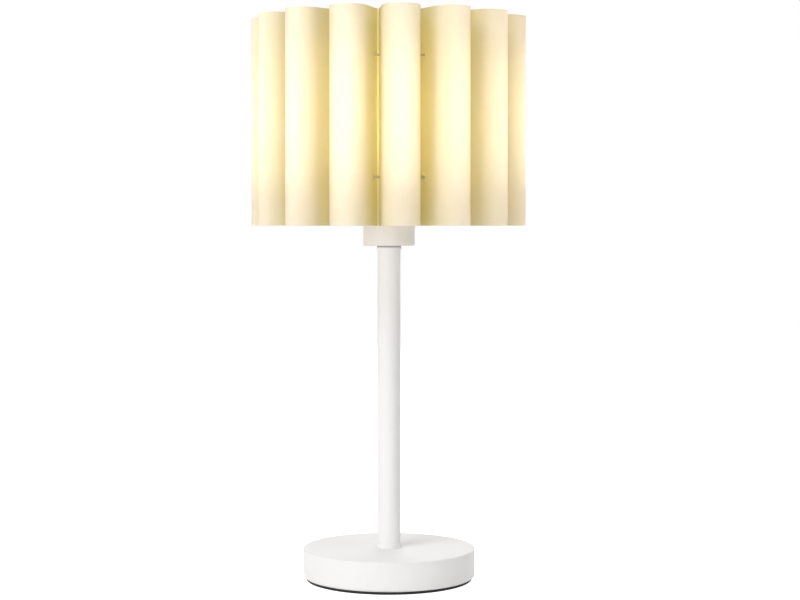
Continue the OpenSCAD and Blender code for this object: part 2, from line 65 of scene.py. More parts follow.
# Numbers of the Mix node's colour sockets, which share their names with others.
MIX_A, MIX_B, MIX_RESULT = 6, 7, 2

# Nearly all values of a noise lie in this range.
NOISE_LOW, NOISE_HIGH = 0.3, 0.7

# Share of its strength that each finer layer of a noise keeps.
NOISE_KEPT = 0.55

# Points of a mesh that are nearer to each other than this become one.
MERGE_DISTANCE = 1e-7

# Edges that bend more than this stay sharp when a mesh is shaded smooth.
CREASE = math.radians(35)

# Pieces in the arc of a rounded corner, and the half angle from which a corner counts as straight.
ARC_STEPS = 6
STRAIGHT = math.radians(89.9)

# Steps round the axis of a turned piece.
TURNED_STEPS = 160

# Longest edge in the outline of a threaded piece.
THREADED_STEP = 0.4 * MM

# Pitch of the thread on the bulb's cap, and on the shell that it screws into.
CAP_PITCH = 3.629 * MM

# Corners of an outline by radius from the axis, height and rounding radius.
Corners = Sequence[tuple[float, float, float]]


class Body(Enum):
    """The rigid bodies that new pieces ride on, by the names that the record gives them."""

    STAND = "stand"
    BULB = "bulb"


class Slot(Enum):
    """The record's material slots that go with the new pieces; nothing here reads them."""

    PAD_FOAM = "pad_foam"
    WHITE_STEEL = "white_steel"
    WHITE_PLASTIC = "white_plastic"
    LAMINATE = "shade_laminate"
    BRASS = "brass"
    CAP_METAL = "cap_metal"


class End(Enum):
    """The ends of the stem, by the names of their collars."""

    LOWER = "lower"
    UPPER = "upper"


class Face(IntEnum):
    """The kinds of face on a panel of the shade, in the order of the panel's materials."""

    OUTSIDE = 0
    INSIDE = 1
    LAP = 2


def linear(hex_code: str) -> tuple[float, float, float, float]:
    """Turns an sRGB hex colour into the linear colour that a shader reads.

    Args:
        hex_code: Six hex digits, such as "F2F1EC".

    Returns:
        Linear red, green, blue and an alpha of 1.
    """
    parts = [int(hex_code[i : i + 2], 16) / 255 for i in (0, 2, 4)]
    red, green, blue = (p / 12.92 if p <= 0.04045 else ((p + 0.055) / 1.055) ** 2.4 for p in parts)
    return red, green, blue, 1.0


def add_node(tree: NodeTree, kind: str, inputs: dict | None = None, **settings: object) -> Node:
    """Adds a node, sets it and links it.

    Args:
        tree: Node tree that the node goes into.
        kind: Blender's class name of the node.
        inputs: Value or output socket for each input, by its name or number.
        **settings: Properties of the node itself.

    Returns:
        The new node.
    """
    node = tree.nodes.new(kind)
    for key, value in settings.items():
        setattr(node, key, value)
    for key, value in (inputs or {}).items():
        if isinstance(value, NodeSocket):
            tree.links.new(value, node.inputs[key])
        else:
            node.inputs[key].default_value = value
    return node


def empty_tree(owner: Material | World) -> NodeTree:
    """Turns on the nodes of a material or a world, clears them and returns their tree."""
    owner.use_nodes = True
    owner.node_tree.nodes.clear()
    return owner.node_tree


def new_object(name: str, data: Mesh | Light | Camera) -> Object:
    """Makes an object from its data and links it to the scene."""
    made = bpy.data.objects.new(name, data)
    bpy.context.scene.collection.objects.link(made)
    return made


@dataclass(frozen=True)
class Finish:
    """A plain finish with one colour, which the other finishes build on."""

    name: str
    colour: str
    roughness: float = 0.5
    metallic: float = 0.0
    ior: float = 1.5

    def material(self) -> Material:
        """Returns the material of this finish, and builds it the first time."""
        found = bpy.data.materials.get(self.name)
        if found is not None:
            return found
        made = bpy.data.materials.new(self.name)
        made.diffuse_color = linear(self.colour)
        tree = empty_tree(made)
        add_node(tree, "ShaderNodeOutputMaterial", {"Surface": self.surface(tree)})
        return made

    def principled(self, tree: NodeTree, **inputs: object) -> Node:
        """Adds the Principled shader with this finish's own values.

        Args:
            tree: Node tree of the material.
            **inputs: More inputs, with an underscore for each space in a name.

        Returns:
            The shader's node.
        """
        values = {
            "Base Color": linear(self.colour),
            "Roughness": self.roughness,
            "Metallic": self.metallic,
            "IOR": self.ior,
        }
        values.update({key.replace("_", " "): value for key, value in inputs.items()})
        return add_node(tree, "ShaderNodeBsdfPrincipled", values)

    def surface(self, tree: NodeTree) -> NodeSocket:
        """Builds the shader. A finish with a pattern has its own.

        Args:
            tree: Node tree of the material.

        Returns:
            The socket that goes to the material's output.
        """
        return self.principled(tree).outputs[0]

    def dress(self, piece: Object) -> None:
        """Gives the finish to a piece, in place of what it had."""
        piece.data.materials.clear()
        piece.data.materials.append(self.material())


def scaled_noise(
    tree: NodeTree, where: NodeSocket, scale: tuple[float, float, float], **inputs: float
) -> NodeSocket:
    """Adds noise on scaled coordinates.

    Args:
        tree: Node tree of the material.
        where: The coordinates.
        scale: Factor on them along X, Y and Z.
        **inputs: More inputs of the noise.

    Returns:
        The noise's value, from 0 to 1.
    """
    drawn = add_node(tree, "ShaderNodeMapping", {"Vector": where, "Scale": scale})
    noise = add_node(tree, "ShaderNodeTexNoise", {"Vector": drawn.outputs[0], **inputs})
    return noise.outputs["Fac"]


def object_noise(
    tree: NodeTree, size: float, detail: float = 2.0, stretch: tuple = (1.0, 1.0, 1.0)
) -> NodeSocket:
    """Adds noise on the piece's Object coordinates.

    Args:
        tree: Node tree of the material.
        size: Real size of one patch, in metres.
        detail: How many finer layers the noise has.
        stretch: Factor on the coordinates along X, Y and Z.

    Returns:
        The noise's value, from 0 to 1.
    """
    where = add_node(tree, "ShaderNodeTexCoord").outputs["Object"]
    return scaled_noise(tree, where, stretch, Scale=1 / size, Detail=detail, Roughness=NOISE_KEPT)


def spread(tree: NodeTree, value: NodeSocket, middle: float, reach: float) -> NodeSocket:
    """Spreads a pattern's values to both sides of a middle value.

    Args:
        tree: Node tree of the material.
        value: Pattern, mostly in the range of a noise.
        middle: What the middle of that range becomes.
        reach: How far from it the ends of that range come to lie.

    Returns:
        The spread value.
    """
    inputs = {"Value": value, "From Min": NOISE_LOW, "From Max": NOISE_HIGH}
    ends = {"To Min": middle - reach, "To Max": middle + reach}
    return add_node(tree, "ShaderNodeMapRange", inputs | ends).outputs["Result"]


def relief(tree: NodeTree, height: NodeSocket, depth: float) -> NodeSocket:
    """Turns a pattern into relief.

    Args:
        tree: Node tree of the material.
        height: Pattern from 0 to 1.
        depth: Real depth of the relief, in metres.

    Returns:
        The bent normal.
    """
    return add_node(tree, "ShaderNodeBump", {"Height": height, "Distance": depth}).outputs["Normal"]


@dataclass(frozen=True)
class PowderCoat(Finish):
    """Polyester or epoxy powder, laid on steel and baked.

    It flows out to a satin skin with a faint orange peel, so highlights are soft and a little
    uneven.
    """

    peel: float = 1.6 * MM
    peel_depth: float = 0.012 * MM
    uneven: float = 0.03

    def surface(self, tree: NodeTree) -> NodeSocket:
        """Builds a satin white with orange peel. See Finish."""
        peel = object_noise(tree, self.peel, detail=1.0)
        rough = spread(tree, peel, self.roughness, self.uneven)
        normal = relief(tree, peel, self.peel_depth)
        return self.principled(tree, Roughness=rough, Normal=normal).outputs[0]


@dataclass(frozen=True)
class Laminate(Finish):
    """Linen-look textile laminated on a translucent film, creased and curved into flutes.

    It sends white light back as pale cream, and lets the bulb's light through as warm yellow.
    Towards the seams both colours are painted darker and yellower: painted shade in the grooves.
    Thicker threads show as faint slubs. The sheet scatters light once, on the face that the light
    meets first: the textile's from outside and the film's from inside, each with its own finish.
    The far face is clear.
    """

    passed: str = "EADCC3"
    # Colours of the walls, darker and yellower than the crest's: painted shade in the grooves.
    painted_shade_wall_colour: str = "F6ECCB"
    painted_shade_wall_passed: str = "CFC17A"
    passed_share: float = 0.6
    crest_to: float = 3 * MM
    wall_from: float = 38 * MM
    slub_length: float = 22 * MM
    slub_width: float = 1.6 * MM
    cloud: float = 14 * MM
    mottle: float = 0.035

    def surface(self, tree: NodeTree) -> NodeSocket:
        """Builds a translucent sheet with slubs along and across it. See Finish.

        The slubs are drawn on the sheet's own UV map, which is in metres. Real threads are
        about 0.4 mm apart, too fine to show, so only the thick ones are drawn.
        """
        flat = add_node(tree, "ShaderNodeUVMap", uv_map=SHEET_UV).outputs["UV"]
        patches = (
            (self.slub_length, self.slub_width),
            (self.slub_width, self.slub_length),
            (self.cloud, self.cloud),
        )
        total: NodeSocket | float = 0.0
        for width, height in patches:
            layer = scaled_noise(tree, flat, (1 / width, 1 / height, 1), Scale=1.0, Detail=2.0)
            added = add_node(tree, "ShaderNodeMath", {0: total, 1: layer}, operation="ADD")
            total = added.outputs[0]
        mean = add_node(tree, "ShaderNodeMath", {0: total, 1: len(patches)}, operation="DIVIDE")
        shade = spread(tree, mean.outputs[0], 1 - self.mottle / 2, self.mottle / 2)
        # The walls send back and let through darker, yellower colours than the crest: painted shade.
        wall = self.walls(tree, flat)
        sent_back = self.tinted(tree, self.colour, self.painted_shade_wall_colour, wall, shade)
        let_through = self.tinted(tree, self.passed, self.painted_shade_wall_passed, wall, shade)
        skin = self.principled(tree, Base_Color=sent_back)
        glow = add_node(tree, "ShaderNodeBsdfTranslucent", {"Color": let_through})
        inputs = {0: self.passed_share, 1: skin.outputs[0], 2: glow.outputs[0]}
        sheet = add_node(tree, "ShaderNodeMixShader", inputs)
        side = add_node(tree, "ShaderNodeNewGeometry")
        clear = add_node(tree, "ShaderNodeBsdfTransparent")
        inputs = {0: side.outputs["Backfacing"], 1: sheet.outputs[0], 2: clear.outputs[0]}
        return add_node(tree, "ShaderNodeMixShader", inputs).outputs[0]

    def walls(self, tree: NodeTree, flat: NodeSocket) -> NodeSocket:
        """Tells the walls of a flute from its crest, by the distance from the crest's middle.

        Args:
            tree: Node tree of the material.
            flat: The sheet's own flat coordinates, in metres.

        Returns:
            Zero on the crest, rising to one towards the seams, where the painted shade is full.
        """
        parts = add_node(tree, "ShaderNodeSeparateXYZ", {0: flat})
        away = add_node(tree, "ShaderNodeMath", {0: parts.outputs["X"]}, operation="ABSOLUTE")
        inputs = {"Value": away.outputs[0], "From Min": self.crest_to, "From Max": self.wall_from}
        return add_node(tree, "ShaderNodeMapRange", inputs).outputs["Result"]

    def tinted(
        self, tree: NodeTree, crest: str, wall: str, share: NodeSocket, shade: NodeSocket
    ) -> NodeSocket:
        """Blends the crest's colour into the walls' and darkens it by a pattern.

        Args:
            tree: Node tree of the material.
            crest: Colour on the crest.
            wall: Colour on the walls, which carries the painted shade of the grooves.
            share: Share of the walls' colour.
            shade: Factor from the pattern, up to 1.

        Returns:
            The patterned colour.
        """
        inputs = {"Factor": share, MIX_A: linear(crest), MIX_B: linear(wall)}
        blend = add_node(tree, "ShaderNodeMix", inputs, data_type="RGBA")
        inputs = {"Factor": 1.0, MIX_A: blend.outputs[MIX_RESULT], MIX_B: shade}
        scale = add_node(tree, "ShaderNodeMix", inputs, data_type="RGBA", blend_type="MULTIPLY")
        return scale.outputs[MIX_RESULT]


@dataclass(frozen=True)
class LitDiffuser(Finish):
    """Opal polycarbonate with lit diodes behind it, which glows in warm white.

    The diodes sit on a board in the dome and shine up and out from it, so the dome is bright
    above the board and dim beside it.
    """

    glow: str = "FFF9EB"
    strength: float = 23.0
    dim_to: float = 370 * MM
    bright_from: float = 380 * MM
    dim: float = 0.55

    def surface(self, tree: NodeTree) -> NodeSocket:
        """Builds a smooth white skin that also gives light. See Finish."""
        place = add_node(tree, "ShaderNodeTexCoord")
        parts = add_node(tree, "ShaderNodeSeparateXYZ", {0: place.outputs["Object"]})
        height = {"Value": parts.outputs["Z"]}
        ends = {"From Min": self.dim_to, "From Max": self.bright_from}
        rise = add_node(tree, "ShaderNodeMapRange", height | ends, interpolation_type="SMOOTHSTEP")
        bright = linear(self.glow)
        faint = tuple(self.dim * part for part in bright[:3]) + (1.0,)
        inputs = {"Factor": rise.outputs["Result"], MIX_A: faint, MIX_B: bright}
        glow = add_node(tree, "ShaderNodeMix", inputs, data_type="RGBA").outputs[MIX_RESULT]
        lit = self.principled(tree, Emission_Color=glow, Emission_Strength=self.strength)
        return lit.outputs[0]


@dataclass(frozen=True)
class Moulded(Finish):
    """Injection-moulded thermoplastic with a fine spark-eroded grain from its mould."""

    grain: float = 0.7 * MM
    grain_depth: float = 0.01 * MM

    def surface(self, tree: NodeTree) -> NodeSocket:
        """Builds a satin plastic with a fine grain. See Finish."""
        grain = object_noise(tree, self.grain)
        return self.principled(tree, Normal=relief(tree, grain, self.grain_depth)).outputs[0]


@dataclass(frozen=True)
class CastIron(Finish):
    """Grey iron cast in sand, with a rough skin that is duller in patches of scale."""

    grit: float = 1.2 * MM
    grit_depth: float = 0.15 * MM
    scale_marks: float = 18 * MM
    uneven: float = 0.1

    def surface(self, tree: NodeTree) -> NodeSocket:
        """Builds a dark, rough, uneven metal. See Finish."""
        grit = object_noise(tree, self.grit, detail=4.0)
        marks = object_noise(tree, self.scale_marks)
        rough = spread(tree, marks, self.roughness, self.uneven)
        normal = relief(tree, grit, self.grit_depth)
        return self.principled(tree, Roughness=rough, Normal=normal).outputs[0]


@dataclass(frozen=True)
class PlatedSteel(Finish):
    """Plated steel or bare brass, turned, drawn or pressed, with fine marks round its axis."""

    marks: float = 0.5 * MM
    marks_depth: float = 0.01 * MM
    drawn_out: float = 0.05
    uneven: float = 0.06

    def surface(self, tree: NodeTree) -> NodeSocket:
        """Builds a metal with marks that run round it. See Finish."""
        marks = object_noise(tree, self.marks, stretch=(self.drawn_out, self.drawn_out, 1.0))
        rough = spread(tree, marks, self.roughness, self.uneven)
        normal = relief(tree, marks, self.marks_depth)
        return self.principled(tree, Roughness=rough, Normal=normal).outputs[0]


@dataclass(frozen=True)
class ClosedCellFoam(Finish):
    """Black foam sheet, punched to size, whose closed cells leave a matt and pitted skin."""

    cell: float = 0.9 * MM
    cell_depth: float = 0.1 * MM

    def surface(self, tree: NodeTree) -> NodeSocket:
        """Builds a matt black with open pits. See Finish."""
        place = add_node(tree, "ShaderNodeTexCoord")
        inputs = {"Vector": place.outputs["Object"], "Scale": 1 / self.cell}
        cells = add_node(tree, "ShaderNodeTexVoronoi", inputs)
        normal = relief(tree, cells.outputs["Distance"], self.cell_depth)
        return self.principled(tree, Normal=normal).outputs[0]


# Base, stem and collars: steel with a baked white coat, satin and even.
WHITE_COAT = PowderCoat("powder_coat_white", "F2F1F1", roughness=0.5, ior=1.3)

# Cup: the same kind of coat, in a white that is a little greyer: painted shade for the cup's
# place under the lampshade.
CUP_COAT_PAINTED_SHADE = PowderCoat("powder_coat_white_painted_shade", "E7E4E2", roughness=0.5, ior=1.3)

# Rings and spider: drawn wire dipped in epoxy powder, creamy, and smoother than a sprayed coat.
WIRE_COAT = PowderCoat("epoxy_coated_wire", "C6BCA3", roughness=0.3, peel=0.8 * MM)

# Textile side of the laminate: woven, matt and pale cream. Its walls are painted darker and
# yellower than its crests: painted shade in the grooves.
SHADE_SHEET = Laminate("linen_laminate", "F8F5EB", roughness=0.9, ior=1.3)

# Film side of it: calendered polyester, near white, smoother, and passing less light. On the
# walls, what it lets through is painted darker and yellower: painted shade in the grooves.
SHADE_FILM = Laminate(
    "laminate_film", "FDFCF9", roughness=0.6, ior=1.3, painted_shade_wall_colour="FDFCF9", passed_share=0.5
)

# Flange under the next panel: two thicknesses of laminate, so little light comes through. Its
# colours are painted darker and yellower, like the walls': painted shade at the bottom of the
# groove.
SHADE_SEAM = Laminate("linen_laminate_lapped", "EAD8AE", roughness=0.9, ior=1.3, passed_share=0.25)

# Dome: blow-moulded opal polycarbonate, smooth, with the diodes' light inside it.
LIT_DOME = LitDiffuser("opal_polycarbonate_lit", "FFFAF0", roughness=0.3, ior=1.58)

# Lampholder and ring nut: moulded polyester, which stands heat, with a satin grain.
HOLDER_PLASTIC = Moulded("pbt_white", "EFEEE8", roughness=0.42, ior=1.57)

# Housing of the bulb: moulded polycarbonate, glossier than the lampholder.
HOUSING_PLASTIC = Moulded("polycarbonate_white", "F3F3F0", roughness=0.28, ior=1.58)

# Cable bush: moulded polyamide, duller.
BUSH_PLASTIC = Moulded("polyamide_white", "ECEBE6", roughness=0.5, ior=1.53)

# Contact block: pressed and fired steatite with a clear glaze, so its highlights are sharp.
PORCELAIN = Finish("glazed_steatite", "F2EFE4", roughness=0.15, ior=1.54)

# Weight: iron cast in sand and left bare, dark and rough.
IRON = CastIron("sand_cast_iron", "4A4A4B", roughness=0.7, metallic=0.6)

# Nuts, washer, tube, screws and sleeves: turned or rolled steel, zinc plated, cool and satin.
ZINC = PlatedSteel("zinc_plated_steel", "C4C7CA", roughness=0.35, metallic=1.0)

# Cap of the bulb: drawn and nickel plated, warmer and brighter than zinc.
NICKEL = PlatedSteel("nickel_plated_cap", "D2CCC0", roughness=0.22, metallic=1.0)

# Contacts and screw shell: pressed from bright brass strip, with the same fine marks.
BRASS = PlatedSteel("pressed_brass", "D9B36B", roughness=0.25, metallic=1.0)

# Pad: punched foam, black and matt.
FOAM = ClosedCellFoam("closed_cell_foam", "1A1A1A", roughness=0.85)

# Insulator of the cap: black glass poured in and set, glossy.
BLACK_GLASS = Finish("cap_vitrite", "141414", roughness=0.12, ior=1.6)

# Washer under the cup: a grey, dull ring in the collar's groove. Its grey is painted shade
# for the dark line where the collar meets the cup.
WASHER_PAINTED_SHADE = Finish("grey_washer_painted_shade", "A8A49D", roughness=0.85)

# Light board: aluminium core with a white solder mask, smooth and fairly glossy.
BOARD_WHITE = Finish("aluminium_core_board", "F0EFEA", roughness=0.3)

# Driver board: glass and epoxy sheet with a green solder mask, fairly glossy.
BOARD_GREEN = Finish("solder_mask_green", "1E5B38", roughness=0.3)

# Chips: diodes under drops of silicone with yellow phosphor, satin.
PHOSPHOR = Finish("silicone_phosphor", "F2DC6A", roughness=0.5, ior=1.41)

# Finishes of a panel of the shade, in the order of Face.
PANEL_FINISHES = (SHADE_SHEET, SHADE_FILM, SHADE_SEAM)


def finish_mesh(name: str, mesh: Mesh) -> Object:
    """Merges a mesh's doubles, drops stray edges, turns faces outward and shades it smooth.

    Args:
        name: Name of the new piece.
        mesh: Mesh with its place in its vertices.

    Returns:
        The piece, at the origin.
    """
    work = bmesh.new()
    work.from_mesh(mesh)
    bmesh.ops.remove_doubles(work, verts=work.verts, dist=MERGE_DISTANCE)
    loose = [edge for edge in work.edges if not edge.link_faces]
    bmesh.ops.delete(work, geom=loose, context="EDGES")
    bmesh.ops.recalc_face_normals(work, faces=work.faces)
    work.to_mesh(mesh)
    work.free()
    mesh.shade_smooth()
    mesh.set_sharp_from_angle(angle=CREASE)
    return new_object(name, mesh)


def grid_faces(rows: int, columns: int, closed: bool) -> np.ndarray:
    """Numbers the corners of the faces of a grid, whose last column joins its first.

    Args:
        rows: Points down the grid.
        columns: Points across the grid.
        closed: Whether the last row joins the first too.

    Returns:
        An array of faces by four corners.
    """
    index = np.arange(rows * columns).reshape(rows, columns)
    if closed:
        index = np.vstack([index, index[:1]])
    index = np.hstack([index, index[:, :1]])
    corners = (index[:-1, :-1], index[1:, :-1], index[1:, 1:], index[:-1, 1:])
    return np.stack(corners, -1).reshape(-1, 4)


def rounded(corners: Corners) -> np.ndarray:
    """Rounds the corners of a closed outline.

    Each corner is replaced by an arc that touches both its edges. The arc's centre lies on the
    line that halves the corner, at its radius over the sine of half the corner's angle.

    Args:
        corners: Radius from the axis, height and rounding radius of each corner, in order.

    Returns:
        An array of points by radius and height.
    """
    points = np.array([c[:2] for c in corners], float)
    outline = []
    for i, (_, _, radius) in enumerate(corners):
        here = points[i]
        back, on = points[i - 1] - here, points[(i + 1) % len(points)] - here
        back, on = back / np.linalg.norm(back), on / np.linalg.norm(on)
        half = math.acos(float(np.clip(back @ on, -1, 1))) / 2
        if radius <= 0 or half > STRAIGHT:
            outline.append(here[None])
            continue
        middle = (back + on) / np.linalg.norm(back + on)
        centre = here + middle * radius / math.sin(half)
        start = here + back * radius / math.tan(half) - centre
        end = here + on * radius / math.tan(half) - centre
        turn = math.atan2(start[0] * end[1] - start[1] * end[0], float(start @ end))
        angle = np.linspace(0, turn, ARC_STEPS + 1)[:, None]
        side = np.array([-start[1], start[0]])
        outline.append(centre + np.cos(angle) * start + np.sin(angle) * side)
    return np.vstack(outline)


def refined(outline: np.ndarray, step: float) -> np.ndarray:
    """Adds points to a closed outline, so that none of its edges is longer than a step.

    Args:
        outline: Points by radius and height.
        step: Longest edge.

    Returns:
        The finer outline.
    """
    parts = []
    for start, end in zip(outline, np.roll(outline, -1, axis=0)):
        count = max(1, math.ceil(np.linalg.norm(end - start) / step))
        share = np.arange(count)[:, None] / count
        parts.append(start + share * (end - start))
    return np.vstack(parts)


@dataclass(frozen=True)
class Thread:
    """A right-handed rolled screw thread, as a wave that is pressed into a wall of revolution."""

    pitch: float
    depth: float
    low: float
    high: float
    inner: float
    outer: float = math.inf
    lead: float = 0.0
    run_out: float = 1.5 * MM

    def pressed(self, radius: np.ndarray, height: np.ndarray, angle: np.ndarray) -> np.ndarray:
        """Presses the thread into points.

        The depth follows one minus the cosine of the height over the pitch less the share of a
        turn, and fades out at both ends of the thread. A depth below zero presses outward.

        Args:
            radius: Distance of each point from the axis.
            height: Height of each point.
            angle: Angle of each point round the axis.

        Returns:
            The new radius of each point.
        """
        phase = math.tau * height / self.pitch - angle + self.lead
        wave = (1 - np.cos(phase)) / 2
        fade = np.clip(np.minimum(height - self.low, self.high - height) / self.run_out, 0, 1)
        held = (radius > self.inner) & (radius < self.outer)
        return radius - np.where(held, self.depth * wave * fade * fade * (3 - 2 * fade), 0)


def ring_outline(
    inner: float, outer: float, foot: float, top: float, edges: Sequence[float] = (0, 0, 0, 0)
) -> Corners:
    """Lists the corners of a plain ring's outline, from the inner foot outward and round.

    Args:
        inner: Radius of the bore.
        outer: Radius of the outside.
        foot: Lower height.
        top: Upper height.
        edges: Rounding radius of each corner, in the same order.

    Returns:
        The corners, as rounded reads them.
    """
    radii, heights = (inner, outer, outer, inner), (foot, foot, top, top)
    return list(zip(radii, heights, edges))


def turned(
    name: str, corners: Corners, threads: Sequence[Thread] = (), step: float = 20 * MM
) -> Object:
    """Carries a closed outline round the Z axis.

    A point at radius r and height z goes to r cos a, r sin a, z for each angle a.

    Args:
        name: Name of the new piece.
        corners: Corners of the outline, as rounded reads them.
        threads: Screw threads pressed into its walls.
        step: Longest edge of the outline.

    Returns:
        The piece.
    """
    outline = refined(rounded(corners), step)
    angle = np.linspace(0, math.tau, TURNED_STEPS, endpoint=False)[:, None]
    radius = np.repeat(outline[None, :, 0], TURNED_STEPS, axis=0)
    height = np.repeat(outline[None, :, 1], TURNED_STEPS, axis=0)
    for thread in threads:
        radius = thread.pressed(radius, height, angle)
    points = np.stack([radius * np.cos(angle), radius * np.sin(angle), height], -1)
    mesh = bpy.data.meshes.new(name)
    faces = grid_faces(TURNED_STEPS, len(outline), closed=True)
    mesh.from_pydata(points.reshape(-1, 3).tolist(), [], faces.tolist())
    return finish_mesh(name, mesh)


def place(piece: Object, body: Body, slot: Slot, finish: Finish, *stands_for: str) -> None:
    """Puts a new piece on its body.

    Args:
        piece: The new piece.
        body: Body that it rides on.
        slot: Slot of the record that goes with it. It is not used.
        finish: Its finish.
        *stands_for: CAD nodes that it is shown in place of.
    """
    finish.dress(piece)
    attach(piece, body.value)
    if stands_for:
        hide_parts(*stands_for)
    LOG.info("%s rides on %s, %d faces", piece.name, body.value, len(piece.data.polygons))


def dress_nodes(finish: Finish, *names: str) -> None:
    """Dresses CAD nodes where they stand.

    Args:
        finish: Their finish.
        *names: Names of the nodes.
    """
    for name in names:
        finish.dress(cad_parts[name])
        LOG.info("%s is dressed in %s", name, finish.name)


def low(node: str) -> float:
    """Returns the height of a CAD node's lowest point."""
    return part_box(node)[0].z


def high(node: str) -> float:
    """Returns the height of a CAD node's highest point."""
    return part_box(node)[1].z


def radius_of(node: str) -> float:
    """Returns the outside radius of a CAD node that is round about the Z axis."""
    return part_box(node)[1].x


@dataclass
class Base:
    """The pressed cover with its pad, weight, fixing and cable bush."""

    pad_radius: float = 72.3 * MM
    pad_edge: float = 0.6 * MM

    def build(self) -> None:
        """Builds the pad and dresses the rest."""
        dress_nodes(WHITE_COAT, "base_cover")
        self.build_pad()
        dress_nodes(IRON, "base_weight")
        dress_nodes(BUSH_PLASTIC, "cable_grommet")
        dress_nodes(ZINC, "base_washer", "base_nut", "threaded_tube")

    def build_pad(self) -> None:
        """Builds the round pad, which reaches to the bend in the foot of the cover."""
        edges = (0, self.pad_edge, 0, 0)
        outline = ring_outline(0, self.pad_radius, low("base_pad"), high("base_pad"), edges)
        pad = turned("pad_surface", outline)
        place(pad, Body.STAND, Slot.PAD_FOAM, FOAM, "base_pad")


@dataclass
class Stem:
    """The stem tube between its two turned collars, and the spun cup above it.

    The groove is given by its depth and its height.
    """

    tube_wall: float = 1.5 * MM
    tube_step: float = 12 * MM
    cup_wall: float = 1.2 * MM
    hole: float = 5.3 * MM
    recess: float = 2.0 * MM
    edge: float = 0.4 * MM
    groove: tuple[float, float] = (3.5 * MM, 1.3 * MM)
    cup_edge: float = 1.0 * MM
    seat_gap: float = 0.05 * MM

    def build(self) -> None:
        """Builds the tube, the collars, the washer and the cup."""
        outer = radius_of("stem_tube")
        inner = outer - self.tube_wall
        outline = ring_outline(inner, outer, low("stem_tube"), high("stem_tube"))
        tube = turned("stem_surface", outline, step=self.tube_step)
        place(tube, Body.STAND, Slot.WHITE_STEEL, WHITE_COAT, "stem_tube")
        for end in End:
            self.build_collar(end)
        self.build_washer()
        self.build_cup()

    def build_collar(self, end: End) -> None:
        """Builds a collar, whose mouth takes the stem and whose seat has a groove or a small step.

        Args:
            end: End of the stem that it holds.
        """
        node = f"{end.value}_collar"
        seat, mouth, outer = low(node), high(node), radius_of(node)
        depth = height = self.edge / 2
        if end is End.UPPER:
            seat, mouth = mouth, seat
            depth, height = self.groove
        way = math.copysign(1, mouth - seat)
        bore = radius_of("stem_tube") + self.seat_gap
        corners = [
            (self.hole, seat, 0),
            (outer - depth, seat, 0),
            (outer - depth, seat + way * height, 0),
            (outer, seat + way * height, self.edge / 4),
            (outer, mouth, self.edge),
            (bore, mouth, self.edge / 4),
            (bore, mouth - way * self.recess, 0),
            (self.hole, mouth - way * self.recess, 0),
        ]
        collar = turned(f"{node}_surface", corners)
        place(collar, Body.STAND, Slot.WHITE_STEEL, WHITE_COAT, node)

    def build_washer(self) -> None:
        """Builds a grey washer in the upper collar's groove, at its joint with the cup.

        Its grey is painted shade for the dark line at that joint. The record has no slot of its own
        for it, so it is passed the pad's, the other soft and dark piece.
        """
        depth, height = self.groove
        seat, collar = high("upper_collar"), radius_of("upper_collar")
        inner, foot = collar - depth + self.seat_gap, seat - height + self.seat_gap
        washer = turned("collar_washer", ring_outline(inner, collar - self.edge, foot, seat))
        # Its grey is painted shade for the dark line at the joint.
        place(washer, Body.STAND, Slot.PAD_FOAM, WASHER_PAINTED_SHADE)

    def build_cup(self) -> None:
        """Builds the cup, with a bend at its floor and a plain rim."""
        outer = radius_of("holder_cup")
        inner = outer - self.cup_wall
        floor, rim = low("holder_cup"), high("holder_cup")
        corners = [
            (self.hole, floor, 0),
            (outer, floor, self.cup_edge),
            (outer, rim, self.edge / 2),
            (inner, rim, self.edge / 2),
            (inner, floor + self.cup_wall, self.cup_edge / 4),
            (self.hole, floor + self.cup_wall, 0),
        ]
        cup = turned("cup_surface", corners)
        # The cup's greyer white is painted shade from the lampshade above it.
        place(cup, Body.STAND, Slot.WHITE_STEEL, CUP_COAT_PAINTED_SHADE, "holder_cup")


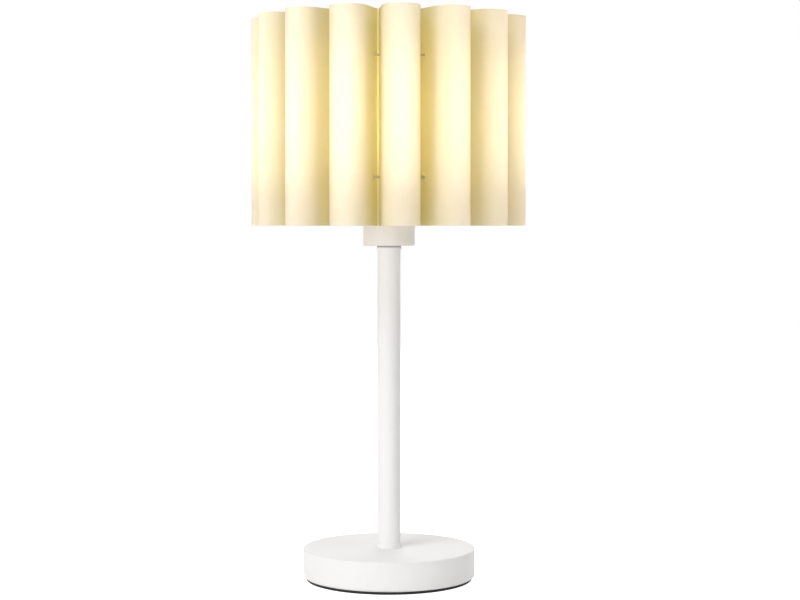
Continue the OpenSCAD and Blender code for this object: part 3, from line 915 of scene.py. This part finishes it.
@dataclass
class Lampholder:
    """The lampholder in the cup, its contacts, and the ring nut on its threaded collar."""

    bore: float = 14.85 * MM
    lip: float = 14.25 * MM
    spigot: float = 16.9 * MM
    barrel: float = 19.0 * MM
    collar: float = 19.4 * MM
    neck: float = 18.6 * MM
    spigot_height: float = 5.0 * MM
    flange: tuple[float, float] = (320.7 * MM, 322.2 * MM)
    neck_height: float = 5.5 * MM
    lip_height: float = 1.5 * MM
    rim_edge: float = 1.0 * MM
    edge: float = 0.3 * MM
    collar_pitch: float = 3.0 * MM
    collar_depth: float = 0.8 * MM
    shell_inner: float = 13.45 * MM
    shell_outer: float = 13.95 * MM
    shell_flange: float = 3.0 * MM
    shell_depth: float = 0.75 * MM

    def build(self) -> None:
        """Builds the threaded collar and shell, and dresses the rest."""
        dress_nodes(HOLDER_PLASTIC, "lampholder_cap", "shade_ring_nut")
        dress_nodes(PORCELAIN, "contact_block")
        dress_nodes(BRASS, "centre_contact", "wire_terminals")
        dress_nodes(ZINC, "terminal_screws", "cup_locknut")
        self.build_skirt()
        self.build_shell()

    def build_skirt(self) -> None:
        """Builds the upper half, with a spigot, a flange, a threaded collar and a plain rim."""
        foot, rim = low("lampholder_skirt"), high("lampholder_skirt")
        wide = radius_of("lampholder_skirt")
        under, over = self.flange
        shoulder = rim - self.neck_height
        corners = [
            (self.bore, foot, 0),
            (self.spigot, foot, self.edge),
            (self.spigot, foot + self.spigot_height, 0),
            (self.barrel, foot + self.spigot_height, 0),
            (self.barrel, under, 0),
            (wide, under, self.edge),
            (wide, over, self.edge),
            (self.collar, over, 0),
            (self.collar, shoulder, self.edge),
            (self.neck, shoulder, 0),
            (self.neck, rim, self.rim_edge),
            (self.lip, rim, self.edge),
            (self.lip, rim - self.lip_height, 0),
            (self.bore, rim - self.lip_height, 0),
        ]
        inner = (self.neck + self.collar) / 2
        thread = Thread(self.collar_pitch, self.collar_depth, over, shoulder, inner, wide)
        skirt = turned("lampholder_skirt_surface", corners, threads=[thread], step=THREADED_STEP)
        place(skirt, Body.STAND, Slot.WHITE_PLASTIC, HOLDER_PLASTIC, "lampholder_skirt")

    def build_shell(self) -> None:
        """Builds the pressed screw shell, whose thread follows the bulb's cap."""
        foot, rim = low("thread_shell"), high("thread_shell")
        wall = self.shell_outer - self.shell_inner
        corners = [
            (self.shell_inner - self.shell_flange, foot, 0),
            (self.shell_outer, foot, wall / 2),
            (self.shell_outer, rim, wall / 4),
            (self.shell_inner, rim, wall / 4),
            (self.shell_inner, foot + wall, 0),
            (self.shell_inner - self.shell_flange, foot + wall, 0),
        ]
        near = self.shell_inner - wall / 2
        start = foot + 2 * wall
        thread = Thread(CAP_PITCH, -self.shell_depth, start, rim, near, lead=math.pi)
        shell = turned("thread_shell_surface", corners, threads=[thread], step=THREADED_STEP)
        place(shell, Body.STAND, Slot.BRASS, BRASS, "thread_shell")


@dataclass
class Bulb:
    """The lit bulb with its screw cap."""

    cap_wall: float = 0.5 * MM
    thread_depth: float = 0.95 * MM
    thread_ends: tuple[float, float] = (2.8 * MM, 6.4 * MM)

    def build(self) -> None:
        """Builds the threaded cap and dresses the rest."""
        dress_nodes(LIT_DOME, "bulb_dome")
        dress_nodes(HOUSING_PLASTIC, "bulb_housing")
        self.build_cap()
        dress_nodes(NICKEL, "bulb_tip_contact")
        dress_nodes(BLACK_GLASS, "bulb_insulator")
        dress_nodes(BOARD_WHITE, "led_board")
        dress_nodes(PHOSPHOR, "led_chips")
        dress_nodes(BOARD_GREEN, "driver_board")

    def build_cap(self) -> None:
        """Builds the screw cap, rolled between the insulator's top and the housing's foot."""
        node = "bulb_screw_cap"
        foot, rim, outer = low(node), high(node), radius_of(node)
        inner, edge = outer - self.cap_wall, self.cap_wall / 4
        outline = ring_outline(inner, outer, foot, rim, (edge, edge, 0, 0))
        start, end = foot + self.thread_ends[0], rim - self.thread_ends[1]
        near = inner - self.cap_wall / 2
        thread = Thread(CAP_PITCH, self.thread_depth, start, end, near)
        cap = turned("bulb_cap_surface", outline, threads=[thread], step=THREADED_STEP)
        place(cap, Body.BULB, Slot.CAP_METAL, NICKEL, node)


@dataclass
class Shade:
    """The fluted panels, threaded on two wire rings that a spider carries."""

    count: int = 15
    first: float = math.radians(5.5)
    crest_radius: float = 15.75 * MM
    reach: float = 120 * MM
    seam_radius: float = 80 * MM
    seam_width: float = 1.7 * MM
    lap: float = 1.6 * MM
    thickness: float = 0.8 * MM
    foot_gap: float = 0.1 * MM
    blend: float = 0.02 * MM
    ring_hole: float = 1.4 * MM
    hole_segments: int = 20
    wall_steps: int = 10
    crest_steps: int = 36
    rows: int = 24

    def build(self) -> None:
        """Builds the panels and dresses the wires."""
        dress_nodes(WIRE_COAT, "shade_spider", "lower_ring", "upper_ring")
        dress_nodes(ZINC, "ring_ferrules")
        outer, inner = self.section(0.0), self.section(self.thickness)
        for k in range(self.count):
            name = f"flute_{k + 1:02d}_sheet"
            turn = self.first + k * math.tau / self.count
            panel = self.panel(name, outer, inner, turn)
            self.punch_holes(panel, turn)
            kind = np.zeros(len(panel.data.polygons), np.int32)
            panel.data.polygons.foreach_get("material_index", kind)
            place(panel, Body.STAND, Slot.LAMINATE, SHADE_SHEET, f"flute_panel_{k + 1:02d}")
            for finish in PANEL_FINISHES[1:]:
                panel.data.materials.append(finish.material())
            panel.data.polygons.foreach_set("material_index", kind)

    def section(self, depth: float) -> np.ndarray:
        """Works out one face of the section of a panel.

        The crest is an arc about a centre on the flute's middle line. Each wall starts almost
        tangent to it and runs straight to the seam. The flange then runs across the seam.

        Args:
            depth: How far the face lies below the outside of the sheet.

        Returns:
            Points by distance across the flute and distance out from the axis.
        """
        centre = np.array([0.0, self.reach - self.crest_radius])
        half = math.pi / self.count
        out = np.array([math.sin(half), math.cos(half)])
        along = np.array([math.cos(half), -math.sin(half)])
        foot = self.seam_radius * out - self.seam_width / 2 * along - centre
        offset = self.crest_radius - self.blend
        lean = math.atan2(foot[1], foot[0]) + math.acos(offset / np.linalg.norm(foot))
        normal = np.array([math.cos(lean), math.sin(lean)])
        way = np.array([math.sin(lean), -math.cos(lean)])
        start = centre + (offset - depth) * normal
        mirror = np.array([-1.0, 1.0])

        def wall_end(rho: float) -> np.ndarray:
            """Returns the wall's point whose distance along the seam's direction is rho."""
            return start + way * (rho - start @ out) / (way @ out)

        share = np.linspace(0, 1, self.wall_steps + 1)[:, None]
        far_foot = wall_end(self.seam_radius + self.foot_gap) * mirror
        far_wall = far_foot + share * (start * mirror - far_foot)
        angle = np.linspace(math.pi - lean, lean, self.crest_steps + 1)[1:-1, None]
        radius = self.crest_radius - depth
        crest = centre + radius * np.hstack([np.cos(angle), np.sin(angle)])
        near_foot = wall_end(self.seam_radius - depth)
        near_wall = start + share * (near_foot - start)
        tip = (self.seam_radius - depth) * out + (self.seam_width / 2 + self.lap) * along
        return np.vstack([far_wall, crest, near_wall, tip])

    def panel(self, name: str, outer: np.ndarray, inner: np.ndarray, turn: float) -> Object:
        """Carries the section of a panel up the height of the shade.

        Args:
            name: Name of the new piece.
            outer: Outside face of the section.
            inner: Inside face of the section.
            turn: Direction of the flute, from straight ahead.

        Returns:
            The panel, with its flat coordinates in metres as a UV map.
        """
        loop = np.vstack([outer, inner[::-1]])
        heights = np.linspace(low("flute_panel_01"), high("flute_panel_01"), self.rows + 1)
        across, away = loop[:, 0], loop[:, 1]
        x = across * math.cos(turn) + away * math.sin(turn)
        y = across * math.sin(turn) - away * math.cos(turn)
        columns = len(loop)
        points = np.zeros((len(heights), columns, 3))
        points[..., 0], points[..., 1], points[..., 2] = x, y, heights[:, None]
        sides = grid_faces(len(heights), columns, closed=False)
        face = np.arange(len(outer) - 1)
        strip = np.stack([face, face + 1, columns - 2 - face, columns - 1 - face], -1)
        top = strip + (len(heights) - 1) * columns
        faces = np.vstack([sides, strip[:, ::-1], top])
        mesh = bpy.data.meshes.new(name)
        mesh.from_pydata(points.reshape(-1, 3).tolist(), [], faces.tolist())
        length = np.concatenate([[0], np.cumsum(np.linalg.norm(np.diff(outer, axis=0), axis=1))])
        flat = np.zeros((len(heights), columns, 2))
        length -= length[len(length) // 2]
        flat[..., 0] = np.concatenate([length, length[::-1]])
        flat[..., 1] = heights[:, None] + turn
        layer = mesh.uv_layers.new(name=SHEET_UV)
        corner = np.zeros(len(mesh.loops), np.int32)
        mesh.loops.foreach_get("vertex_index", corner)
        layer.data.foreach_set("uv", flat.reshape(-1, 2)[corner].ravel())
        column = np.arange(len(sides)) % columns
        inside = (column >= len(outer)) & (column < columns - 1)
        kind = np.full(len(faces), Face.OUTSIDE, np.int32)
        kind[: len(sides)][inside] = Face.INSIDE
        kind[: len(sides)][column == len(outer) - 2] = Face.LAP
        for finish in PANEL_FINISHES:
            mesh.materials.append(finish.material())
        mesh.polygons.foreach_set("material_index", kind)
        return finish_mesh(name, mesh)

    def punch_holes(self, panel: Object, turn: float) -> None:
        """Punches the holes for the two rings through both walls of a panel.

        Args:
            panel: The panel.
            turn: Direction of the flute, from straight ahead.
        """
        radius = radius_of("lower_ring") - (high("lower_ring") - low("lower_ring")) / 2
        angle = np.linspace(0, math.tau, self.hole_segments, endpoint=False)
        rim = self.ring_hole * np.stack([np.cos(angle), np.sin(angle)], -1)
        punch = bpy.data.meshes.new("ring_punch")
        verts, faces = [], []
        up = np.array([0, 0, 1])
        for side in (-1, 1):
            seam = turn + side * math.pi / self.count
            along = np.array([math.cos(seam), math.sin(seam), 0])
            out = np.array([math.sin(seam), -math.cos(seam), 0])
            for ring in ("lower_ring", "upper_ring"):
                centre = radius * out + (low(ring) + high(ring)) / 2 * up
                for end in (-1, 1):
                    across = centre + end * self.crest_radius / 2 * along
                    first = len(verts)
                    verts.extend(across + rim[:, :1] * out + rim[:, 1:] * up)
                    faces.append(list(range(first, first + self.hole_segments)))
                near, far = np.array(faces[-2]), np.array(faces[-1])
                walls = np.stack([near, np.roll(near, -1), np.roll(far, -1), far], -1)
                faces.extend(walls.tolist())
        punch.from_pydata([tuple(v) for v in verts], [], faces)
        tool = finish_mesh("ring_punch", punch)
        cut = panel.modifiers.new("ring_holes", "BOOLEAN")
        cut.operation, cut.solver, cut.object = "DIFFERENCE", "EXACT", tool
        shaped = panel.evaluated_get(bpy.context.evaluated_depsgraph_get())
        plain, panel.data = panel.data, bpy.data.meshes.new_from_object(shaped)
        panel.modifiers.clear()
        panel.data.name = panel.name
        bpy.data.meshes.remove(plain)
        bpy.data.objects.remove(tool)
        bpy.data.meshes.remove(punch)


@dataclass(frozen=True)
class SoftBox:
    """A square soft box: its place, the length of its sides and its power in watts."""

    name: str
    where: tuple[float, float, float]
    size: float
    power: float

    def hang(self, target: tuple[float, float, float]) -> None:
        """Hangs the box so that it faces a point.

        Args:
            target: The point.
        """
        light = bpy.data.lights.new(self.name, "AREA")
        light.size = self.size
        light.energy = self.power
        lamp = new_object(self.name, light)
        lamp.location = self.where
        aim = np.array(target) - np.array(self.where)
        pitch = math.atan2(math.hypot(aim[0], aim[1]), -aim[2])
        lamp.rotation_euler = (pitch, 0, math.atan2(-aim[0], aim[1]))


@dataclass
class Studio:
    """The floor, the light and the camera that stand where the photographer's stood.

    The picture's width, the focal length and the lens's shift are in pixels, and the sensor's
    width is in millimetres.
    """

    picture_width: int = 800
    focal_pixels: float = 1811.4
    axis_left: float = 11.0
    horizon_up: float = 45.0
    sensor: float = 36.0
    distance: float = 1.583
    height: float = 0.31008
    pitch: float = math.radians(0.967)
    floor_reach: float = 3.0
    floor_colour: str = "F4F4F4"
    floor_seen: float = 0.8
    world_seen: float = 1.0
    world_light: float = 0.42
    lamp_middle: tuple[float, float, float] = (0.0, 0.0, 0.25)
    boxes: tuple[SoftBox, ...] = (
        SoftBox("key", (-1.4, -1.93, 0.42), 0.7, 11.0),
        SoftBox("front", (-0.3, -2.4, 0.5), 0.7, 4.4),
        SoftBox("left", (-0.95, -1.05, 1.7), 1.0, 14.0),
        SoftBox("right", (1.3, -0.5, 1.7), 1.0, 4.0),
        SoftBox("back", (0.4, 1.6, 1.7), 1.4, 12.0),
    )

    def build(self) -> None:
        """Sets up the camera, the floor and the world, and hangs the soft boxes."""
        self.build_camera()
        self.build_floor()
        for box in self.boxes:
            box.hang(self.lamp_middle)
        self.build_world()

    def build_camera(self) -> None:
        """Sets up a nearly level camera whose frame is shifted to hold base and shade."""
        lens = bpy.data.cameras.new("camera")
        lens.sensor_width = self.sensor
        lens.lens = self.focal_pixels / self.picture_width * self.sensor
        lens.shift_x = self.axis_left / self.picture_width
        lens.shift_y = -self.horizon_up / self.picture_width
        camera = new_object("camera", lens)
        camera.location = (0, -self.distance, self.height)
        camera.rotation_euler = (math.pi / 2 - self.pitch, 0, 0)
        bpy.context.scene.camera = camera

    def build_floor(self) -> None:
        """Lays a floor of white paper that keeps a faint shadow."""
        side = self.floor_reach
        mesh = bpy.data.meshes.new("floor")
        corners = [(-side, -side, 0), (side, -side, 0), (side, side, 0), (-side, side, 0)]
        mesh.from_pydata(corners, [], [(0, 1, 2, 3)])
        paper = bpy.data.materials.new("white_paper")
        tree = empty_tree(paper)
        matt = add_node(tree, "ShaderNodeBsdfDiffuse", {"Color": linear(self.floor_colour)})
        glow = add_node(tree, "ShaderNodeEmission", {"Strength": self.floor_seen})
        seen = add_node(tree, "ShaderNodeAddShader", {0: matt.outputs[0], 1: glow.outputs[0]})
        inputs = {0: self.seen_rays(tree), 1: matt.outputs[0], 2: seen.outputs[0]}
        mix = add_node(tree, "ShaderNodeMixShader", inputs)
        add_node(tree, "ShaderNodeOutputMaterial", {"Surface": mix.outputs[0]})
        mesh.materials.append(paper)
        floor = new_object("floor", mesh)

    def seen_rays(self, tree: NodeTree) -> NodeSocket:
        """Tells the rays that carry a picture of the background from those that carry light.

        A ray scattered by the shade's sheet counts as transmission and as diffuse, and carries
        light. So the value is the largest of camera, glossy, and transmission less diffuse.

        Args:
            tree: Node tree of a material or of the world.

        Returns:
            One for camera, glossy and clear transmission rays, and zero or less for others.
        """
        rays = add_node(tree, "ShaderNodeLightPath").outputs
        inputs = {0: rays["Is Transmission Ray"], 1: rays["Is Diffuse Ray"]}
        clear = add_node(tree, "ShaderNodeMath", inputs, operation="SUBTRACT")
        inputs = {0: rays["Is Camera Ray"], 1: rays["Is Glossy Ray"]}
        first = add_node(tree, "ShaderNodeMath", inputs, operation="MAXIMUM")
        inputs = {0: first.outputs[0], 1: clear.outputs[0]}
        return add_node(tree, "ShaderNodeMath", inputs, operation="MAXIMUM").outputs[0]

    def build_world(self) -> None:
        """Makes the background white, and a weaker white light all round."""
        world = bpy.data.worlds.new("studio")
        bpy.context.scene.world = world
        tree = empty_tree(world)
        white = linear("FFFFFF")
        light, seen = (
            add_node(tree, "ShaderNodeBackground", {"Color": white, "Strength": strength})
            for strength in (self.world_light, self.world_seen)
        )
        inputs = {0: self.seen_rays(tree), 1: light.outputs[0], 2: seen.outputs[0]}
        mix = add_node(tree, "ShaderNodeMixShader", inputs)
        add_node(tree, "ShaderNodeOutputWorld", {"Surface": mix.outputs[0]})
        bpy.context.scene.view_settings.view_transform = "Standard"


def main() -> None:
    """Builds the lamp and the studio in order."""
    logging.basicConfig(level=logging.INFO, format="%(message)s")
    Studio().build()
    for part in (Base(), Stem(), Lampholder(), Bulb(), Shade()):
        part.build()
        LOG.info("%s is built", type(part).__name__)


if __name__ == "__main__":
    main()
